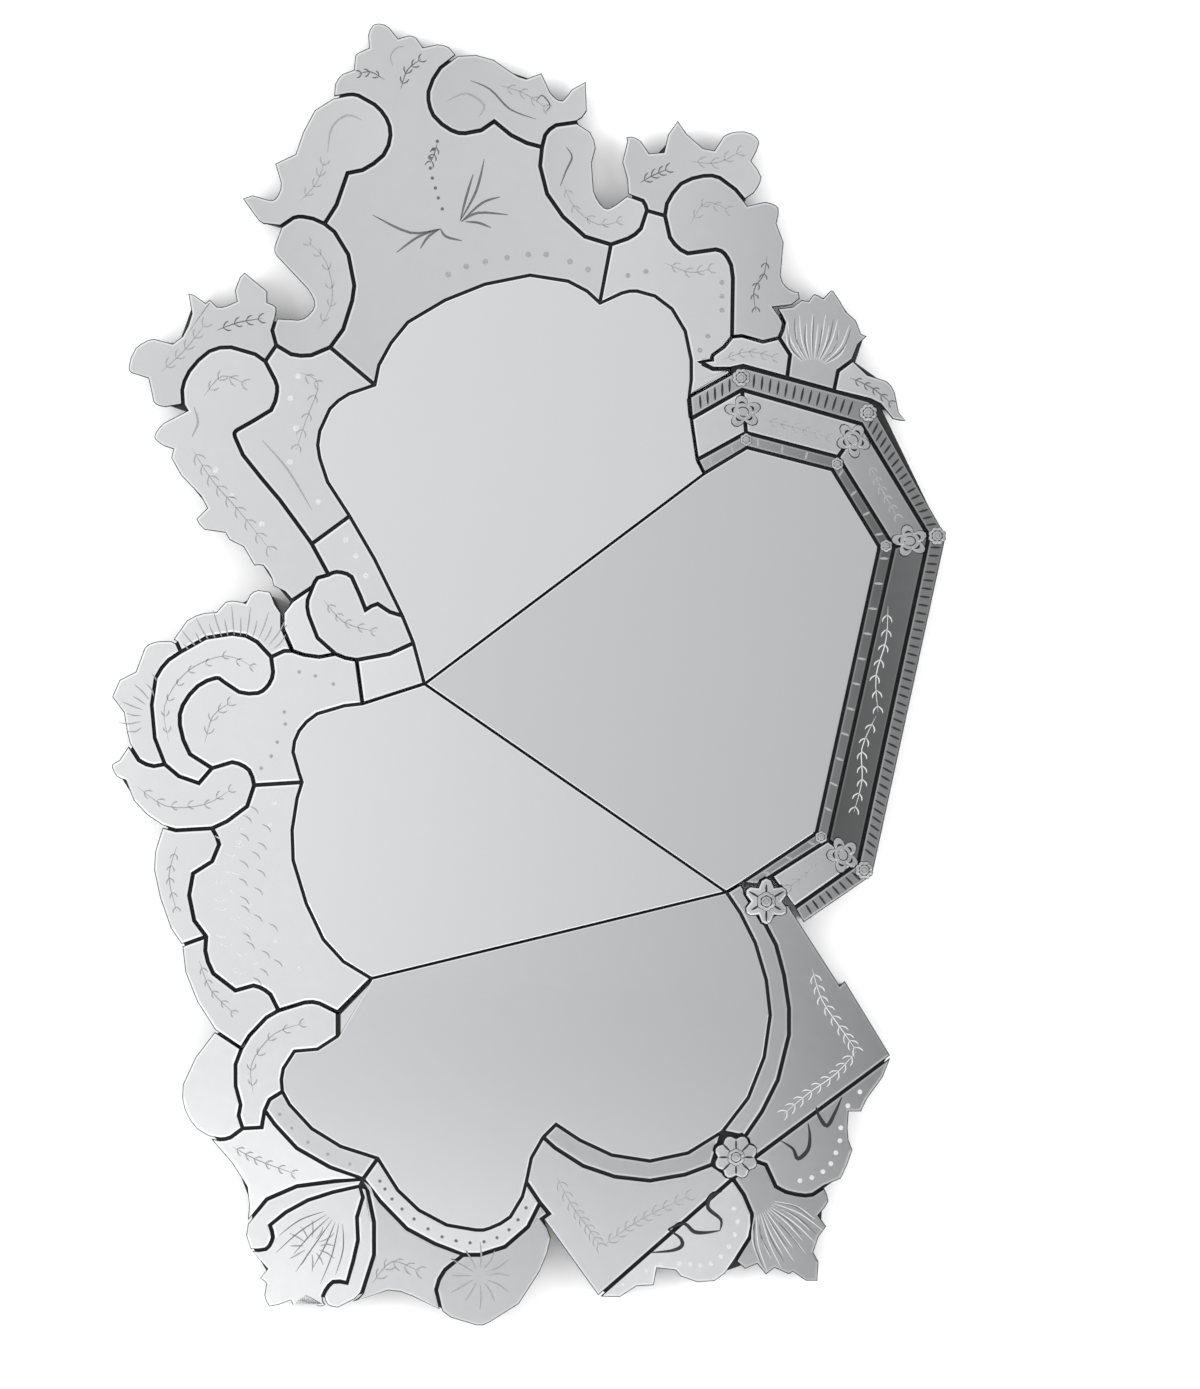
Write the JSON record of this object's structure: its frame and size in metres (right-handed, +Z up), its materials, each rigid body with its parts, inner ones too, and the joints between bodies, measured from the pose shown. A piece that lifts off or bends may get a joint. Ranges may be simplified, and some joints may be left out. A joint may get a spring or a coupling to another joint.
{
  "type": "wall mirror",
  "caption": "Irregular faceted wall mirror of bevelled glass panes with scrolls, leaves and an octagonal frame, mounted on boards and hung on a wall.",
  "frame": {"origin": "on the flat back of the top board, at the mount wall_back", "axes": "+Z up the mirror's height, +X to the right seen from the front, +Y into the wall"},
  "size_m": [1.1654, 0.0684, 1.8268],
  "materials": {
    "silvered_glass": "polished",
    "dark_board": "painted"
  },
  "bodies": {
    "root": {"board_bottom": "dark_board", "board_left": "dark_board", "board_right": "dark_board", "board_top": "dark_board", "border_bottom": "silvered_glass", "border_left": "silvered_glass", "border_lower": "silvered_glass", "border_right": "silvered_glass", "comma_scroll": "silvered_glass", "corner_body": "silvered_glass", "corner_leaf": "silvered_glass", "corner_panel_lower": "silvered_glass", "corner_panel_right": "silvered_glass", "crescent": "silvered_glass", "crest_panel": "silvered_glass", "crest_scroll_left": "silvered_glass", "crest_scroll_right": "silvered_glass", "fan": "silvered_glass", "foot_body": "silvered_glass", "foot_drop": "silvered_glass", "front_scroll": "silvered_glass", "heart": "silvered_glass", "hook_left": "silvered_glass", "hook_right": "silvered_glass", "leaf_strip_right": "silvered_glass", "leaf_strip_upper": "silvered_glass", "left_panel_lower": "silvered_glass", "left_panel_upper": "silvered_glass", "left_scroll_lower": "silvered_glass", "left_scroll_upper": "silvered_glass", "lower_rosette": "silvered_glass", "octagon_band_1": "silvered_glass", "octagon_band_2": "silvered_glass", "octagon_band_3": "silvered_glass", "octagon_band_4": "silvered_glass", "octagon_band_5": "silvered_glass", "octagon_leaf": "silvered_glass", "octagon_moulding_inner": "silvered_glass", "octagon_moulding_outer": "silvered_glass", "octagon_shell": "silvered_glass", "octagon_tail": "silvered_glass", "outer_wave": "silvered_glass", "palmette": "silvered_glass", "plate_bottom": "silvered_glass", "plate_left": "silvered_glass", "plate_right": "silvered_glass", "plate_top": "silvered_glass", "ring_scroll": "silvered_glass", "round_drop": "silvered_glass", "scroll_leaf_lower": "silvered_glass", "scroll_leaf_right": "silvered_glass", "shoulder_leaf_left": "silvered_glass", "shoulder_leaf_right": "silvered_glass", "side_panel_left": "silvered_glass", "side_panel_right": "silvered_glass", "side_scroll_left": "silvered_glass", "side_scroll_right": "silvered_glass", "small_strip": "silvered_glass", "upper_quatrefoil": "silvered_glass", "waist_strip": "silvered_glass"}
  },
  "joints": []
}
